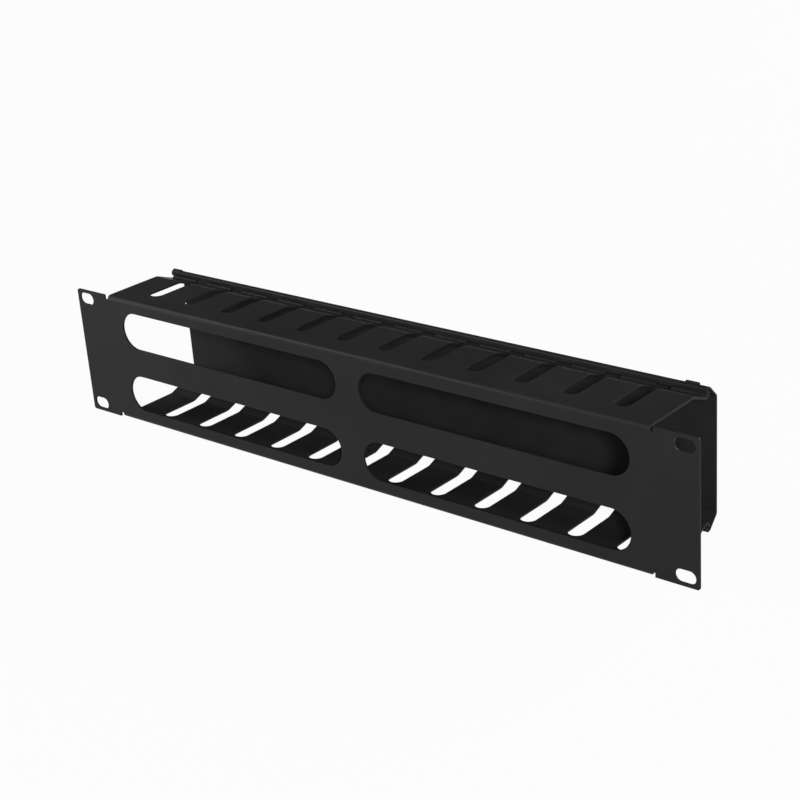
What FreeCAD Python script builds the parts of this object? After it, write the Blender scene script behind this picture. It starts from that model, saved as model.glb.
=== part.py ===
import FreeCAD, Part
import math
import os
import Sketcher

# Horizontal cable manager, two rack units high, in two pieces of folded sheet steel.
# Frame: +X along the panel, +Y from the panel's mounting face out to the cover, +Z up.
# The origin is the middle of the mounting face. Millimetres.
# Each piece is modelled as its +X, +Z quarter and mirrored whole. Only the two stop nibs
# on the cover break the symmetry, so they are added last.

SIZES = {
    # front panel, to the 19 inch rack standard
    "panelWidth": 482.6,
    "panelHeight": 88.1,
    "panelCorner": 1.5,
    "sheetGauge": 1.5,
    "rackHoleSpacing": 465.1,
    "rackHolePitch": 76.2,
    "rackSlotLength": 13.0,
    "rackSlotWidth": 7.9,
    # cable windows
    "windowLength": 190.0,
    "windowHeight": 25.4,
    "windowCentreAcross": 104.0,
    "windowCentreUp": 22.4,
    # flanges and fingers
    "flangeLength": 422.0,
    "reliefWidth": 2.8,
    "reliefDepth": 3.1,
    "fingerPitch": 33.25,
    "fingerSlotWidth": 10.2,
    "fingerSlotStart": 14.8,
    "fingerSlotOverrun": 75.0,
    "flatReach": 45.2,
    "slopeRun": 14.2,
    "slopeDrop": 5.35,
    "hookRun": 1.95,
    "hookRise": 3.4,
    "fingerTipCorner": 1.2,
    # bend radii of the 1.5 mm sheet, inside and outside
    "foldInside": 1.5,
    "foldOutside": 3.0,
    "slopeInside": 6.0,
    "slopeOutside": 7.5,
    "hookInside": 0.9,
    "hookOutside": 2.4,
    # cover
    "coverGauge": 1.2,
    "coverLength": 422.0,
    "coverHeight": 88.1,
    "coverReach": 70.0,
    "lipReach": 58.9,
    "lipHeight": 3.45,
    "cornerAcross": 7.75,
    "lipInside": 0.5,
    "lipOutside": 1.7,
    "cornerInside": 1.3,
    "cornerOutside": 2.5,
    "lipEndCorner": 0.8,
    # stop nibs on the cover's upper fold
    "nibRightAcross": 201.0,
    "nibLeftAcross": 206.3,
    "nibLength": 9.0,
    "nibWidth": 2.2,
    "nibCentreOut": 60.9,
    "nibRightHeight": 1.3,
    "nibLeftHeight": 0.7,
    "nibRoot": 0.7,
    "nibEdge": 0.4,
}

FINGER_SLOTS_PER_QUARTER = 6
GEOMETRY_TOLERANCE = 0.02
PARALLEL_TOLERANCE = 1e-6
QUARTER_TURN = math.pi / 2
COVER_MITRE = math.tan(math.pi / 8)  # half of the cover corner's 45 degree bend


def make_sheet(doc):
    """The spreadsheet that drives every size: one alias a row."""
    sheet = doc.addObject("Spreadsheet::Sheet", "Sizes")
    for row, (alias, value) in enumerate(SIZES.items(), start=1):
        sheet.set(f"A{row}", alias)
        sheet.set(f"B{row}", str(value))
        sheet.setAlias(f"B{row}", alias)
    doc.recompute()
    return sheet


def make_body(doc, label):
    body = doc.addObject("PartDesign::Body", label)
    body.Label = label
    return body


def origin_plane(body, role):
    for feature in body.Origin.OriginFeatures:
        if feature.Role == role:
            return feature
    raise ValueError(role)


def make_sketch(body, name, role):
    sketch = body.newObject("Sketcher::SketchObject", name)
    sketch.AttachmentSupport = [(origin_plane(body, role), "")]
    sketch.MapMode = "FlatFace"
    return sketch


def dimension(sketch, kind, *references, value, name, formula):
    """A named dimension whose value follows the spreadsheet."""
    index = sketch.addConstraint(Sketcher.Constraint(kind, *references, value))
    sketch.renameConstraint(index, name)
    sketch.setExpression(f"Constraints.{name}", formula)


def closed_outline(sketch, corners):
    """Straight edges from corner to corner, joined end to end."""
    count = len(corners)
    for index, corner in enumerate(corners):
        following = corners[(index + 1) % count]
        start = FreeCAD.Vector(corner[0], corner[1], 0)
        end = FreeCAD.Vector(following[0], following[1], 0)
        sketch.addGeometry(Part.LineSegment(start, end), False)
    for index in range(count):
        sketch.addConstraint(Sketcher.Constraint("Coincident", index, 2, (index + 1) % count, 1))


def rectangle(sketch, low, high):
    closed_outline(sketch, [low, (high[0], low[1]), high, (low[0], high[1])])
    for edge in (0, 2):
        sketch.addConstraint(Sketcher.Constraint("Horizontal", edge))
    for edge in (1, 3):
        sketch.addConstraint(Sketcher.Constraint("Vertical", edge))


def stadium(sketch, centre, length, width, formulas):
    """A slot with full round ends, lying along the sketch's first axis."""
    across, up = centre
    radius = width / 2
    reach = length / 2 - radius
    normal = FreeCAD.Vector(0, 0, 1)
    right_circle = Part.Circle(FreeCAD.Vector(across + reach, up, 0), normal, radius)
    left_circle = Part.Circle(FreeCAD.Vector(across - reach, up, 0), normal, radius)
    right = sketch.addGeometry(Part.ArcOfCircle(right_circle, -QUARTER_TURN, QUARTER_TURN), False)
    left = sketch.addGeometry(Part.ArcOfCircle(left_circle, QUARTER_TURN, 3 * QUARTER_TURN), False)
    top_points = (FreeCAD.Vector(across + reach, up + radius, 0),
                  FreeCAD.Vector(across - reach, up + radius, 0))
    low_points = (FreeCAD.Vector(across - reach, up - radius, 0),
                  FreeCAD.Vector(across + reach, up - radius, 0))
    top = sketch.addGeometry(Part.LineSegment(*top_points), False)
    low = sketch.addGeometry(Part.LineSegment(*low_points), False)
    for constraint in (
        ("Tangent", right, 2, top, 1),
        ("Tangent", top, 2, left, 1),
        ("Tangent", left, 2, low, 1),
        ("Tangent", low, 2, right, 1),
        ("Equal", right, left),
        ("Horizontal", top),
    ):
        sketch.addConstraint(Sketcher.Constraint(*constraint))
    dimension(sketch, "Radius", right, value=radius, name="endRadius", formula=formulas["radius"])
    dimension(sketch, "DistanceX", left, 3, right, 3, value=2 * reach, name="span",
              formula=formulas["span"])
    dimension(sketch, "DistanceX", -1, 1, right, 3, value=across + reach, name="rightCentre",
              formula=formulas["right"])
    dimension(sketch, "DistanceY", -1, 1, right, 3, value=up, name="height", formula=formulas["up"])


def pad(body, sketch, name, formula, reverse=False):
    feature = body.newObject("PartDesign::Pad", name)
    feature.Profile = sketch
    feature.Reversed = reverse
    feature.setExpression("Length", formula)
    sketch.Visibility = False
    return feature


def pocket_through(body, sketch, name, reverse=False):
    feature = body.newObject("PartDesign::Pocket", name)
    feature.Profile = sketch
    feature.Type = "ThroughAll"
    feature.Reversed = reverse
    sketch.Visibility = False
    return feature


def removed(doc, body, feature, before):
    """A cut that points the wrong way removes nothing, so its volume is compared."""
    doc.recompute()
    loss = before - feature.Shape.Volume
    if loss <= 0:
        raise ValueError(f"{feature.Name} removes nothing")
    body.Tip = feature
    return feature.Shape.Volume


def edges_along(shape, direction, test):
    """Names of the straight edges along one axis whose midpoint passes the test."""
    names = []
    for index, edge in enumerate(shape.Edges, start=1):
        if edge.Curve.TypeId != "Part::GeomLine":
            continue
        if abs(abs(edge.Curve.Direction.dot(direction)) - 1) > PARALLEL_TOLERANCE:
            continue
        middle = edge.valueAt((edge.FirstParameter + edge.LastParameter) / 2)
        if test(middle, edge.Length):
            names.append(f"Edge{index}")
    return names


def near(middle, out, up):
    """True where an edge along X lies at this distance out and up."""
    return abs(middle.y - out) < GEOMETRY_TOLERANCE and abs(middle.z - up) < GEOMETRY_TOLERANCE


def fillet(doc, body, name, base, edge_names, formula):
    if not edge_names:
        raise ValueError(f"{name} has no edge")
    feature = body.newObject("PartDesign::Fillet", name)
    feature.Base = (base, edge_names)
    feature.setExpression("Radius", formula)
    doc.recompute()
    body.Tip = feature
    return feature


def fillet_bend(doc, body, name, base, place, formula):
    """Rounds the one bend line along X that lies at this place."""
    along = FreeCAD.Vector(1, 0, 0)
    names = edges_along(base.Shape, along, lambda middle, length: near(middle, *place))
    return fillet(doc, body, name, base, names, formula)


def mirror_whole(doc, body, name, role):
    feature = body.newObject("PartDesign::Mirrored", name)
    feature.TransformMode = "Whole shape"
    feature.MirrorPlane = (origin_plane(body, role), [""])
    doc.recompute()
    body.Tip = feature
    return feature


def make_panel_quarter(doc, body, sheet):
    sketch = make_sketch(body, "PanelOutline", "XZ_Plane")
    half_width = sheet.panelWidth / 2
    half_height = sheet.panelHeight / 2
    rectangle(sketch, (0, 0), (half_width, half_height))
    sketch.addConstraint(Sketcher.Constraint("Coincident", 0, 1, -1, 1))
    dimension(sketch, "DistanceX", 0, 1, 0, 2, value=half_width, name="halfWidth",
              formula="Sizes.panelWidth / 2")
    dimension(sketch, "DistanceY", 1, 1, 1, 2, value=half_height, name="halfHeight",
              formula="Sizes.panelHeight / 2")
    return pad(body, sketch, "Panel", "Sizes.sheetGauge", reverse=True)


def finger_corners(sheet):
    """Section of flange and finger: flat, sloped inward, then turned back up as a hook."""
    gauge = sheet.sheetGauge
    top = sheet.panelHeight / 2
    flat_end = FreeCAD.Vector(sheet.flatReach, top, 0)
    valley = flat_end + FreeCAD.Vector(sheet.slopeRun, -sheet.slopeDrop, 0)
    tip = valley + FreeCAD.Vector(sheet.hookRun, sheet.hookRise, 0)
    slope = (valley - flat_end).normalize()
    hook = (tip - valley).normalize()
    below_slope = FreeCAD.Vector(slope.y, -slope.x, 0)
    below_hook = FreeCAD.Vector(hook.y, -hook.x, 0)
    below_level = FreeCAD.Vector(0, -1, 0)
    inner_tip = tip + below_hook * gauge
    inner_valley = valley + mitre(below_slope, below_hook) * gauge
    inner_flat_end = flat_end + mitre(below_level, below_slope) * gauge
    start = FreeCAD.Vector(0, top, 0)
    inner_start = start + below_level * gauge
    return [start, flat_end, valley, tip, inner_tip, inner_valley, inner_flat_end, inner_start]


def mitre(first, second):
    """Offset direction at a corner, long enough to be one unit from both sides."""
    bisector = first + second
    return bisector * (1 / (1 + first.dot(second)))


def make_flange_quarter(doc, body, sheet):
    corners = finger_corners(sheet)
    sketch = make_sketch(body, "FingerProfile", "YZ_Plane")
    closed_outline(sketch, [(corner.x, corner.y) for corner in corners])
    for constraint in (
        ("Horizontal", 0),
        ("Horizontal", 6),
        ("Vertical", 7),
        ("PointOnObject", 0, 1, -2),
        ("Perpendicular", 2, 3),
        ("Parallel", 2, 4),
        ("Parallel", 1, 5),
    ):
        sketch.addConstraint(Sketcher.Constraint(*constraint))
    dimension(sketch, "DistanceY", -1, 1, 0, 1, value=sheet.panelHeight / 2, name="topFace",
              formula="Sizes.panelHeight / 2")
    dimension(sketch, "DistanceX", 0, 1, 0, 2, value=sheet.flatReach, name="flatReach",
              formula="Sizes.flatReach")
    dimension(sketch, "DistanceX", 1, 1, 1, 2, value=sheet.slopeRun, name="slopeRun",
              formula="Sizes.slopeRun")
    dimension(sketch, "DistanceY", 1, 2, 1, 1, value=sheet.slopeDrop, name="slopeDrop",
              formula="Sizes.slopeDrop")
    dimension(sketch, "DistanceX", 2, 1, 2, 2, value=sheet.hookRun, name="hookRun",
              formula="Sizes.hookRun")
    dimension(sketch, "DistanceY", 2, 1, 2, 2, value=sheet.hookRise, name="hookRise",
              formula="Sizes.hookRise")
    for name, point, edge in (("gaugeFlat", 7, 0), ("gaugeSlope", 5, 1), ("gaugeHook", 4, 2)):
        dimension(sketch, "Distance", point, 1, edge, value=sheet.sheetGauge, name=name,
                  formula="Sizes.sheetGauge")
    feature = pad(body, sketch, "Flange", "Sizes.flangeLength / 2")
    doc.recompute()
    body.Tip = feature
    return feature


def cut_relief(doc, body, sheet, before):
    """The small notch that lets the flange fold beside the ear."""
    sketch = make_sketch(body, "ReliefOutline", "XZ_Plane")
    inner = sheet.flangeLength / 2
    top = sheet.panelHeight / 2
    rectangle(sketch, (inner, top - sheet.reliefDepth), (inner + sheet.reliefWidth, top))
    dimension(sketch, "DistanceX", -1, 1, 0, 1, value=inner, name="flangeEnd",
              formula="Sizes.flangeLength / 2")
    dimension(sketch, "DistanceX", 0, 1, 0, 2, value=sheet.reliefWidth, name="reliefWidth",
              formula="Sizes.reliefWidth")
    dimension(sketch, "DistanceY", 1, 1, 1, 2, value=sheet.reliefDepth, name="reliefDepth",
              formula="Sizes.reliefDepth")
    dimension(sketch, "DistanceY", -1, 1, 2, 1, value=top, name="topEdge",
              formula="Sizes.panelHeight / 2")
    return removed(doc, body, pocket_through(body, sketch, "Relief"), before)


def cut_window(doc, body, sheet, before):
    sketch = make_sketch(body, "WindowOutline", "XZ_Plane")
    centre = (sheet.windowCentreAcross, sheet.windowCentreUp)
    stadium(sketch, centre, sheet.windowLength, sheet.windowHeight, {
        "radius": "Sizes.windowHeight / 2",
        "span": "Sizes.windowLength - Sizes.windowHeight",
        "right": "Sizes.windowCentreAcross + (Sizes.windowLength - Sizes.windowHeight) / 2",
        "up": "Sizes.windowCentreUp",
    })
    return removed(doc, body, pocket_through(body, sketch, "Window"), before)


def cut_rack_slot(doc, body, sheet, before):
    sketch = make_sketch(body, "RackSlotOutline", "XZ_Plane")
    centre = (sheet.rackHoleSpacing / 2, sheet.rackHolePitch / 2)
    stadium(sketch, centre, sheet.rackSlotLength, sheet.rackSlotWidth, {
        "radius": "Sizes.rackSlotWidth / 2",
        "span": "Sizes.rackSlotLength - Sizes.rackSlotWidth",
        "right": "Sizes.rackHoleSpacing / 2 + (Sizes.rackSlotLength - Sizes.rackSlotWidth) / 2",
        "up": "Sizes.rackHolePitch / 2",
    })
    return removed(doc, body, pocket_through(body, sketch, "RackSlot"), before)


def cut_finger_slots(doc, body, sheet, before):
    """Slots between the fingers: round at the root, open at the tips, in an even row."""
    sketch = make_sketch(body, "FingerSlotOutline", "XY_Plane")
    middle = sheet.fingerPitch / 2
    radius = sheet.fingerSlotWidth / 2
    root = sheet.fingerSlotStart + radius
    end = sheet.fingerSlotOverrun
    circle = Part.Circle(FreeCAD.Vector(middle, root, 0), FreeCAD.Vector(0, 0, 1), radius)
    arc = sketch.addGeometry(Part.ArcOfCircle(circle, math.pi, 2 * math.pi), False)
    right = sketch.addGeometry(Part.LineSegment(FreeCAD.Vector(middle + radius, root, 0),
                                                FreeCAD.Vector(middle + radius, end, 0)), False)
    far = sketch.addGeometry(Part.LineSegment(FreeCAD.Vector(middle + radius, end, 0),
                                              FreeCAD.Vector(middle - radius, end, 0)), False)
    left = sketch.addGeometry(Part.LineSegment(FreeCAD.Vector(middle - radius, end, 0),
                                               FreeCAD.Vector(middle - radius, root, 0)), False)
    for constraint in (
        ("Tangent", arc, 2, right, 1),
        ("Coincident", right, 2, far, 1),
        ("Coincident", far, 2, left, 1),
        ("Tangent", left, 2, arc, 1),
        ("Horizontal", far),
        ("Vertical", right),
    ):
        sketch.addConstraint(Sketcher.Constraint(*constraint))
    dimension(sketch, "Radius", arc, value=radius, name="rootRadius",
              formula="Sizes.fingerSlotWidth / 2")
    dimension(sketch, "DistanceX", -1, 1, arc, 3, value=middle, name="firstSlot",
              formula="Sizes.fingerPitch / 2")
    dimension(sketch, "DistanceY", -1, 1, arc, 3, value=root, name="rootCentre",
              formula="Sizes.fingerSlotStart + Sizes.fingerSlotWidth / 2")
    dimension(sketch, "DistanceY", -1, 1, right, 2, value=end, name="openEnd",
              formula="Sizes.fingerSlotOverrun")
    slot = pocket_through(body, sketch, "FingerSlot", reverse=True)
    after_one = removed(doc, body, slot, before)
    row = body.newObject("PartDesign::LinearPattern", "FingerSlots")
    row.Originals = [slot]
    row.Direction = (sketch, ["H_Axis"])
    row.Occurrences = FINGER_SLOTS_PER_QUARTER
    row.Mode = "Spacing"
    row.setExpression("Offset", "Sizes.fingerPitch")
    return row, removed(doc, body, row, after_one)


def round_finger_tips(doc, body, base, sheet):
    """Takes the sharp corner off both sides of every finger tip."""
    hook = FreeCAD.Vector(0, sheet.hookRise, -sheet.hookRun).normalize()
    valley_out = sheet.flatReach + sheet.slopeRun

    def at_tip(middle, length):
        return middle.y > valley_out + sheet.hookRun / 2 and length < 2 * sheet.sheetGauge

    names = [name for name in edges_along(base.Shape, hook, at_tip)
             if base.Shape.getElement(name).CenterOfMass.x > GEOMETRY_TOLERANCE]
    return fillet(doc, body, "FingerTipCorners", base, names, "Sizes.fingerTipCorner")


def make_manager_body(doc, sheet):
    body = make_body(doc, "manager_body")
    make_panel_quarter(doc, body, sheet)
    flange = make_flange_quarter(doc, body, sheet)
    volume = cut_relief(doc, body, sheet, flange.Shape.Volume)
    tip = body.Tip
    corners = finger_corners(sheet)
    gauge = sheet.sheetGauge
    top = sheet.panelHeight / 2
    bends = (
        ("SlopeOutside", (corners[1].x, corners[1].y), "Sizes.slopeOutside"),
        ("SlopeInside", (corners[6].x, corners[6].y), "Sizes.slopeInside"),
        ("HookInside", (corners[2].x, corners[2].y), "Sizes.hookInside"),
        ("HookOutside", (corners[5].x, corners[5].y), "Sizes.hookOutside"),
        ("FoldInside", (gauge, top - gauge), "Sizes.foldInside"),
    )
    for name, place, formula in bends:
        tip = fillet_bend(doc, body, name, tip, place, formula)
    fold = edges_along(tip.Shape, FreeCAD.Vector(1, 0, 0),
                       lambda middle, length: near(middle, 0, top) and length > top)
    tip = fillet(doc, body, "FoldOutside", tip, fold, "Sizes.foldOutside")
    ear = edges_along(tip.Shape, FreeCAD.Vector(0, 1, 0),
                      lambda middle, length: abs(middle.x - sheet.panelWidth / 2) < GEOMETRY_TOLERANCE
                      and abs(middle.z - top) < GEOMETRY_TOLERANCE)
    tip = fillet(doc, body, "EarCorner", tip, ear, "Sizes.panelCorner")
    volume = cut_window(doc, body, sheet, tip.Shape.Volume)
    volume = cut_rack_slot(doc, body, sheet, volume)
    row, volume = cut_finger_slots(doc, body, sheet, volume)
    round_finger_tips(doc, body, row, sheet)
    mirror_whole(doc, body, "OtherEnd", "YZ_Plane")
    mirror_whole(doc, body, "LowerHalf", "XY_Plane")
    return body


def cover_corners(sheet):
    """Section of the cover: lip, top, 45 degree corner and flat back, down to mid height."""
    gauge = sheet.coverGauge
    top = sheet.coverHeight / 2
    lip = sheet.lipReach
    back = sheet.coverReach
    lip_end = top - sheet.lipHeight
    shoulder = back - sheet.cornerAcross
    mitre_step = gauge * COVER_MITRE
    return [
        (lip, lip_end),
        (lip, top),
        (shoulder, top),
        (back, top - sheet.cornerAcross),
        (back, 0),
        (back - gauge, 0),
        (back - gauge, top - sheet.cornerAcross - mitre_step),
        (shoulder - mitre_step, top - gauge),
        (lip + gauge, top - gauge),
        (lip + gauge, lip_end),
    ]


def make_cover_section(body, sheet, corners):
    sketch = make_sketch(body, "CoverProfile", "YZ_Plane")
    closed_outline(sketch, corners)
    for edge in (1, 4, 7, 9):
        sketch.addConstraint(Sketcher.Constraint("Horizontal", edge))
    for edge in (0, 3, 5, 8):
        sketch.addConstraint(Sketcher.Constraint("Vertical", edge))
    sketch.addConstraint(Sketcher.Constraint("PointOnObject", 4, 1, -1))
    sketch.addConstraint(Sketcher.Constraint("Parallel", 2, 6))
    dimension(sketch, "DistanceX", -1, 1, 0, 1, value=sheet.lipReach, name="lipReach",
              formula="Sizes.lipReach")
    dimension(sketch, "DistanceY", 0, 1, 0, 2, value=sheet.lipHeight, name="lipHeight",
              formula="Sizes.lipHeight")
    dimension(sketch, "DistanceY", -1, 1, 0, 2, value=sheet.coverHeight / 2, name="topFace",
              formula="Sizes.coverHeight / 2")
    dimension(sketch, "DistanceX", -1, 1, 3, 1, value=sheet.coverReach, name="backFace",
              formula="Sizes.coverReach")
    dimension(sketch, "DistanceX", 2, 1, 2, 2, value=sheet.cornerAcross, name="cornerOut",
              formula="Sizes.cornerAcross")
    dimension(sketch, "DistanceY", 2, 2, 2, 1, value=sheet.cornerAcross, name="cornerDown",
              formula="Sizes.cornerAcross")
    for name, point, edge in (("gaugeBack", 6, 3), ("gaugeCorner", 6, 2), ("gaugeTop", 8, 1),
                              ("gaugeLip", 9, 0)):
        dimension(sketch, "Distance", point, 1, edge, value=sheet.coverGauge, name=name,
                  formula="Sizes.coverGauge")
    return sketch


def add_stop_nib(doc, body, sheet, side, across, height):
    """A low stop nib on the upper fold, near one end of the cover."""
    sign = "-" if across < 0 else ""
    sketch = make_sketch(body, f"{side}NibOutline", "XY_Plane")
    sketch.setExpression("AttachmentOffset.Base.z", "Sizes.coverHeight / 2 - Sizes.nibRoot")
    stadium(sketch, (across, sheet.nibCentreOut), sheet.nibLength, sheet.nibWidth, {
        "radius": "Sizes.nibWidth / 2",
        "span": "Sizes.nibLength - Sizes.nibWidth",
        "right": f"{sign}Sizes.nib{side}Across + (Sizes.nibLength - Sizes.nibWidth) / 2",
        "up": "Sizes.nibCentreOut",
    })
    nib = pad(body, sketch, f"{side}Nib", f"Sizes.nibRoot + Sizes.nib{side}Height")
    doc.recompute()
    body.Tip = nib
    crown = sheet.coverHeight / 2 + height
    names = [f"Edge{index}" for index, edge in enumerate(nib.Shape.Edges, start=1)
             if abs(edge.CenterOfMass.z - crown) < GEOMETRY_TOLERANCE
             and edge.CenterOfMass.x * across > 0]
    fillet(doc, body, f"{side}NibEdge", nib, names, "Sizes.nibEdge")


def make_duct_cover(doc, sheet):
    body = make_body(doc, "duct_cover")
    corners = cover_corners(sheet)
    sketch = make_cover_section(body, sheet, corners)
    tip = pad(body, sketch, "Cover", "Sizes.coverLength / 2")
    doc.recompute()
    body.Tip = tip
    bends = (
        ("LipOutside", corners[1], "Sizes.lipOutside"),
        ("LipInside", corners[8], "Sizes.lipInside"),
        ("ShoulderOutside", corners[2], "Sizes.cornerOutside"),
        ("ShoulderInside", corners[7], "Sizes.cornerInside"),
        ("BackOutside", corners[3], "Sizes.cornerOutside"),
        ("BackInside", corners[6], "Sizes.cornerInside"),
    )
    for name, place, formula in bends:
        tip = fillet_bend(doc, body, name, tip, place, formula)
    lip_end = edges_along(tip.Shape, FreeCAD.Vector(0, 1, 0),
                          lambda middle, length: middle.x > sheet.coverLength / 2 - GEOMETRY_TOLERANCE
                          and abs(middle.z - corners[0][1]) < GEOMETRY_TOLERANCE)
    fillet(doc, body, "LipEndCorner", tip, lip_end, "Sizes.lipEndCorner")
    mirror_whole(doc, body, "LowerHalf", "XY_Plane")
    mirror_whole(doc, body, "OtherEnd", "YZ_Plane")
    add_stop_nib(doc, body, sheet, "Right", sheet.nibRightAcross, sheet.nibRightHeight)
    add_stop_nib(doc, body, sheet, "Left", -sheet.nibLeftAcross, sheet.nibLeftHeight)
    return body


def check_document(doc, bodies):
    for item in doc.Objects:
        if "Invalid" in item.State or "Error" in item.State:
            raise ValueError(f"{item.Label}: {item.State}")
    for body in bodies:
        shape = body.Shape
        if shape.isNull() or not shape.isValid() or len(shape.Solids) != 1:
            raise ValueError(f"{body.Label} is not one valid solid")


def export(bodies):
    os.makedirs("parts", exist_ok=True)
    for body in bodies:
        body.Shape.exportStep(os.path.join("parts", f"{body.Label}.step"))
        box = body.Shape.BoundBox
        print(f"{body.Label}: {body.Shape.Volume:.0f} mm3, {len(body.Shape.Faces)} faces, "
              f"x {box.XMin:.2f} {box.XMax:.2f}, y {box.YMin:.2f} {box.YMax:.2f}, "
              f"z {box.ZMin:.2f} {box.ZMax:.2f}")


def build():
    doc = FreeCAD.newDocument("CableManager")
    sheet = make_sheet(doc)
    bodies = [make_manager_body(doc, sheet), make_duct_cover(doc, sheet)]
    doc.recompute()
    check_document(doc, bodies)
    export(bodies)


build()
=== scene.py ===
import math

import bmesh
import bpy
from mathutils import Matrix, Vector


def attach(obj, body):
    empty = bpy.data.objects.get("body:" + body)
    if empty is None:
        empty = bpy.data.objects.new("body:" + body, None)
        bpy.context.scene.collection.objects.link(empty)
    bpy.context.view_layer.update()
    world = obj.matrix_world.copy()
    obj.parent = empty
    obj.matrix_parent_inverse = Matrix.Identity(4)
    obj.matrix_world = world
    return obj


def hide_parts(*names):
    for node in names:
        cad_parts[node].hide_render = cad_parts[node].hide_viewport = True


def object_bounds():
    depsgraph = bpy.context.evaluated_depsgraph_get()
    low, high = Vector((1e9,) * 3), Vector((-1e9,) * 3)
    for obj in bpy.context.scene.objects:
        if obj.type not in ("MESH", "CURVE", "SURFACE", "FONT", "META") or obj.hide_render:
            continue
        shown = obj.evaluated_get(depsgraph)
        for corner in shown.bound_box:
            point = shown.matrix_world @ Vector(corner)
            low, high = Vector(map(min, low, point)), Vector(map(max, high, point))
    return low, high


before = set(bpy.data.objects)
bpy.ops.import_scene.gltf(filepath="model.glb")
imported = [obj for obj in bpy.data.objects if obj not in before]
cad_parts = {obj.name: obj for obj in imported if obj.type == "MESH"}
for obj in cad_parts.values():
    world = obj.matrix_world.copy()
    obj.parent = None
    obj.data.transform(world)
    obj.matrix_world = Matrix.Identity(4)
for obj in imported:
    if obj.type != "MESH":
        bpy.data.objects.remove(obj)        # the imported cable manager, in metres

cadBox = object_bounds()
mm = 0.001
white = (1.0, 1.0, 1.0, 1.0)


def startMaterial(name):
    material = bpy.data.materials.new(name)
    material.use_nodes = True
    material.node_tree.nodes.clear()
    return material, material.node_tree


def addNode(tree, kind, inputs=None, **settings):
    # an input that is a socket gets a link, and any other value is set on the input itself
    node = tree.nodes.new(kind)
    for key, value in settings.items():
        setattr(node, key, value)
    for key, value in (inputs or {}).items():
        if isinstance(value, bpy.types.NodeSocket):
            tree.links.new(value, node.inputs[key])
        else:
            node.inputs[key].default_value = value
    return node


def noise(tree, place, grain):
    return addNode(tree, "ShaderNodeTexNoise", {
        "Vector": place, "Scale": grain["scale"], "Detail": grain["detail"],
        "Roughness": grain["roughness"]}).outputs["Fac"]


def remap(tree, value, fromSpan, toSpan):
    # the first span of values is stretched to the second, and held at its ends
    return addNode(tree, "ShaderNodeMapRange", {
        "Value": value, "From Min": fromSpan[0], "From Max": fromSpan[1],
        "To Min": toSpan[0], "To Max": toSpan[1]}).outputs["Result"]


def combine(tree, operation, first, second):
    return addNode(tree, "ShaderNodeMath", {0: first, 1: second}, operation=operation).outputs[0]


def blendColour(tree, share, first, second):
    # sockets 6 and 7 are the mix node's two colours
    return addNode(tree, "ShaderNodeMix", {0: share, 6: first, 7: second},
                   data_type="RGBA").outputs[2]


def showShader(tree, shader, kind="ShaderNodeOutputMaterial"):
    tree.links.new(shader.outputs[0], addNode(tree, kind).inputs["Surface"])


# satin black powder coat, with scales in noise cells per metre
powderCoat = {
    "dark": (0.0150, 0.0150, 0.0154, 1.0),
    "light": (0.0190, 0.0190, 0.0195, 1.0),
    "rubbed": (0.024, 0.024, 0.0247, 1.0),
    "cloud": {"scale": 14.0, "detail": 4.0, "roughness": 0.6},
    "speck": {"scale": 900.0, "detail": 2.0, "roughness": 0.5},
    "peel": {"scale": 520.0, "detail": 3.0, "roughness": 0.55},
    "grain": {"scale": 2600.0, "detail": 1.0, "roughness": 0.5},
    "cloudToTone": ((0.3, 0.7), (0.0, 1.0)),
    "cloudToGloss": ((0.25, 0.75), (0.32, 0.42)),
    "speckToGloss": ((0.3, 0.7), (-0.03, 0.03)),
    "specular": 0.056,
    "edgeReach": 0.6 * mm,
    "edgeSamples": 4,
    "bendToEdge": ((0.995, 0.90), (0.0, 1.0)),
    "cloudToRub": ((0.45, 0.75), (0.1, 0.7)),
    "peelShare": 0.8,
    "grainShare": 0.2,
    "bumpStrength": 0.35,
    "bumpHeight": 0.06 * mm,
}


def makePowderCoat(name, shift):
    # fine orange peel over faint clouds, and a thinner, paler coat along the cut edges
    coat = powderCoat
    material, tree = startMaterial(name)
    place = addNode(tree, "ShaderNodeTexCoord").outputs["Object"]
    place = addNode(tree, "ShaderNodeMapping",
                    {"Vector": place, "Location": shift}).outputs["Vector"]
    cloud = noise(tree, place, coat["cloud"])
    speck = noise(tree, place, coat["speck"])
    peel = noise(tree, place, coat["peel"])
    grain = noise(tree, place, coat["grain"])

    # the coat is rubbed where a rounded normal leaves the flat one, more in some clouds
    tone = blendColour(tree, remap(tree, cloud, *coat["cloudToTone"]), coat["dark"], coat["light"])
    rounded = addNode(tree, "ShaderNodeBevel", {"Radius": coat["edgeReach"]},
                      samples=coat["edgeSamples"]).outputs["Normal"]
    flat = addNode(tree, "ShaderNodeNewGeometry").outputs["Normal"]
    bend = addNode(tree, "ShaderNodeVectorMath", {0: rounded, 1: flat}, operation="DOT_PRODUCT")
    edge = remap(tree, bend.outputs["Value"], *coat["bendToEdge"])
    rub = combine(tree, "MULTIPLY", edge, remap(tree, cloud, *coat["cloudToRub"]))
    colour = blendColour(tree, rub, tone, coat["rubbed"])

    gloss = combine(tree, "ADD", remap(tree, cloud, *coat["cloudToGloss"]),
                    remap(tree, speck, *coat["speckToGloss"]))
    height = combine(tree, "ADD", combine(tree, "MULTIPLY", peel, coat["peelShare"]),
                     combine(tree, "MULTIPLY", grain, coat["grainShare"]))
    bump = addNode(tree, "ShaderNodeBump", {
        "Height": height, "Strength": coat["bumpStrength"], "Distance": coat["bumpHeight"]})
    showShader(tree, addNode(tree, "ShaderNodeBsdfPrincipled", {
        "Base Color": colour, "Roughness": gloss, "Normal": bump.outputs["Normal"],
        "Specular IOR Level": coat["specular"]}))
    return material


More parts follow.
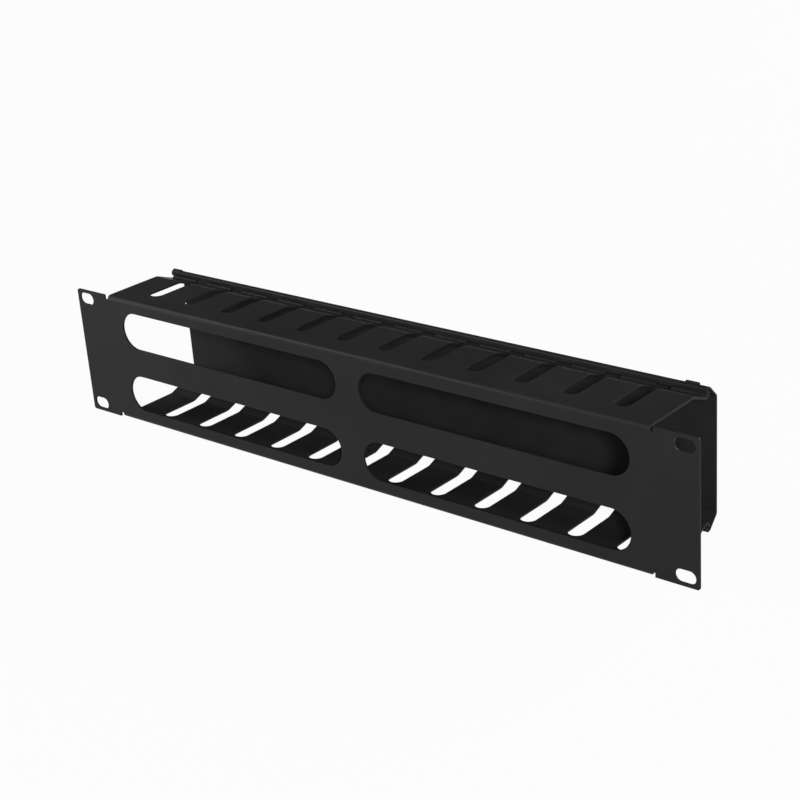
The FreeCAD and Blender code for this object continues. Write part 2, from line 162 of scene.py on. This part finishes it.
# both folded sheets, with the round that powder gives a cut edge
sheetFinish = {
    "weld": 0.002 * mm,
    "flatAngle": math.radians(0.5),
    "edgeAngle": math.radians(38.0),
    "edgeRound": 0.22 * mm,
    "edgeSegments": 3,
    "normalWeight": 60,
}

# coatShift keeps the two sheets from showing the same clouds
sheets = {
    "managerSheet": {"node": "manager_body", "body": "manager", "slot": "body_coat",
                     "coat": "bodyPowderCoat", "coatShift": (0.0, 0.0, 0.0)},
    "coverSheet": {"node": "duct_cover", "body": "cover", "slot": "cover_coat",
                   "coat": "coverPowderCoat", "coatShift": (0.31, 0.17, 0.05)},
}


def weldSkin(name, nodeName):
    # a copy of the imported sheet's loose triangles, merged into one skin of whole faces
    mesh = bpy.data.meshes.new(name)
    skin = bmesh.new()
    skin.from_mesh(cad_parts[nodeName].data)
    bmesh.ops.remove_doubles(skin, verts=skin.verts, dist=sheetFinish["weld"])
    bmesh.ops.dissolve_limit(skin, angle_limit=sheetFinish["flatAngle"],
                             verts=skin.verts, edges=skin.edges)
    bmesh.ops.recalc_face_normals(skin, faces=skin.faces)
    for face in skin.faces:
        face.smooth = True
    skin.to_mesh(mesh)
    skin.free()
    return mesh


def makeSheet(name, sheet):
    mesh = weldSkin(name, sheet["node"])
    mesh.materials.clear()
    mesh.materials.append(makePowderCoat(sheet["coat"], sheet["coatShift"]))
    piece = bpy.data.objects.new(name, mesh)
    bpy.context.scene.collection.objects.link(piece)
    bevel = piece.modifiers.new("edgeRound", "BEVEL")
    bevel.limit_method = "ANGLE"
    bevel.angle_limit = sheetFinish["edgeAngle"]
    bevel.width = sheetFinish["edgeRound"]
    bevel.segments = sheetFinish["edgeSegments"]
    bevel.use_clamp_overlap = False
    bevel.miter_outer = "MITER_ARC"
    normals = piece.modifiers.new("faceNormals", "WEIGHTED_NORMAL")
    normals.keep_sharp = False
    normals.weight = sheetFinish["normalWeight"]
    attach(piece, sheet["body"])
    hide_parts(sheet["node"])
    print(name, "has", len(mesh.polygons), "faces before its edges are rounded")


print("powder coated sheets")
for sheetName, sheetFacts in sheets.items():
    makeSheet(sheetName, sheetFacts)


def addCard(name, corners, material):
    # one flat face of the studio, which isn't part of the cable manager
    mesh = bpy.data.meshes.new(name)
    mesh.from_pydata([tuple(corner) for corner in corners], [], [(0, 1, 2, 3)])
    mesh.materials.append(material)
    card = bpy.data.objects.new(name, mesh)
    bpy.context.scene.collection.objects.link(card)
    return card


def backgroundRays(tree):
    # 1 for the rays that show the background, whether straight, mirrored or through, otherwise 0
    rays = addNode(tree, "ShaderNodeLightPath").outputs
    shown = combine(tree, "MAXIMUM", rays["Is Camera Ray"], rays["Is Glossy Ray"])
    return combine(tree, "MAXIMUM", shown, rays["Is Transmission Ray"])


studioFloor = {
    "reach": 12.0,
    "gap": 0.2 * mm,          # keeps the lower flange and the floor out of one plane
    "colour": (0.6, 0.6, 0.6, 1.0),
    "glow": 0.95,             # the rest is plain floor, which shows the shadow
    "glowStrength": 1.0,
}


def makeFloor():
    material, tree = startMaterial("studioFloor")
    plain = addNode(tree, "ShaderNodeBsdfDiffuse", {"Color": studioFloor["colour"]})
    glow = addNode(tree, "ShaderNodeEmission",
                   {"Color": white, "Strength": studioFloor["glowStrength"]})
    share = combine(tree, "MULTIPLY", backgroundRays(tree), studioFloor["glow"])
    showShader(tree, addNode(tree, "ShaderNodeMixShader",
                             {0: share, 1: plain.outputs[0], 2: glow.outputs[0]}))
    reach = studioFloor["reach"]
    level = cadBox[0][2] - studioFloor["gap"]
    addCard("floor", [(-reach, -reach, level), (reach, -reach, level),
                      (reach, reach, level), (-reach, reach, level)], material)


# a black card beyond the top flange, unseen, that keeps the flange's grazing sheen dark
flag = {
    "place": (-1.2, 1.28, 0.98),
    "width": 3.4,
    "height": 1.7,
    "colour": (0.01, 0.01, 0.01, 1.0),
}


def makeFlag():
    material, tree = startMaterial("blackCard")
    showShader(tree, addNode(tree, "ShaderNodeBsdfDiffuse", {"Color": flag["colour"]}))
    middle = Vector(flag["place"])
    across = middle.cross(Vector((0, 0, 1))).normalized() * flag["width"] / 2
    up = across.cross(middle).normalized() * flag["height"] / 2
    card = addCard("flag", [middle - across - up, middle + across - up,
                            middle + across + up, middle - across + up], material)
    card.visible_camera = False


surround = {
    "light": 0.09,            # what the world sheds on the sheets
    "background": 1.0,        # what shows beyond the floor
}


def makeWorld():
    world = bpy.data.worlds.new("studio")
    world.use_nodes = True
    tree = world.node_tree
    tree.nodes.clear()
    soft = addNode(tree, "ShaderNodeBackground", {"Color": white, "Strength": surround["light"]})
    plain = addNode(tree, "ShaderNodeBackground",
                    {"Color": white, "Strength": surround["background"]})
    showShader(tree, addNode(tree, "ShaderNodeMixShader", {
        0: backgroundRays(tree), 1: soft.outputs[0], 2: plain.outputs[0]}),
        "ShaderNodeOutputWorld")
    bpy.context.scene.world = world


# square soft boxes, in metres and watts, all turned to the middle of the panel
lamps = {
    "keyBox": {"place": (-0.75, -0.35, 0.10), "size": 0.4, "power": 2.6,
               "lights": ["managerSheet"]},      # off the cover, so the duct stays dark inside
    "fillBox": {"place": (1.90, -2.02, 1.19), "size": 0.28, "power": 73.0},
    "edgeBox": {"place": (-2.30, -1.42, 2.30), "size": 0.8, "power": 47.0},
    "backBox": {"place": (0.6, 2.4, 1.0), "size": 0.8, "power": 37.0},
}


def makeLamp(name, box):
    light = bpy.data.lights.new(name, "AREA")
    light.shape = "SQUARE"
    light.size = box["size"]
    light.energy = box["power"]
    lamp = bpy.data.objects.new(name, light)
    bpy.context.scene.collection.objects.link(lamp)
    lamp.location = box["place"]
    lamp.rotation_euler = (-Vector(box["place"])).to_track_quat("-Z", "Y").to_euler()
    if "lights" in box:
        lit = bpy.data.collections.new(name + "Lights")
        for pieceName in box["lights"]:
            lit.objects.link(bpy.data.objects[pieceName])
        lamp.light_linking.receiver_collection = lit


print("studio")
makeFloor()
makeFlag()
makeWorld()
for lampName, lampFacts in lamps.items():
    makeLamp(lampName, lampFacts)


# in front of the panel, to its right and above it
camera = {
    "place": (0.65664, -0.69871, 0.41069),
    "turn": (67.254, 4.018, 39.799),
    "lens": 77.948,
    "sensor": 36.0,
    "shift": (0.0042, 0.0023),
    "nearest": 0.01,
}


def makeCamera():
    data = bpy.data.cameras.new("camera")
    data.sensor_width = camera["sensor"]
    data.lens = camera["lens"]
    data.shift_x, data.shift_y = camera["shift"]
    data.clip_start = camera["nearest"]
    holder = bpy.data.objects.new("camera", data)
    bpy.context.scene.collection.objects.link(holder)
    holder.location = camera["place"]
    holder.rotation_euler = [math.radians(angle) for angle in camera["turn"]]
    bpy.context.scene.camera = holder


print("camera")
makeCamera()
bpy.context.scene.view_settings.view_transform = "Standard"
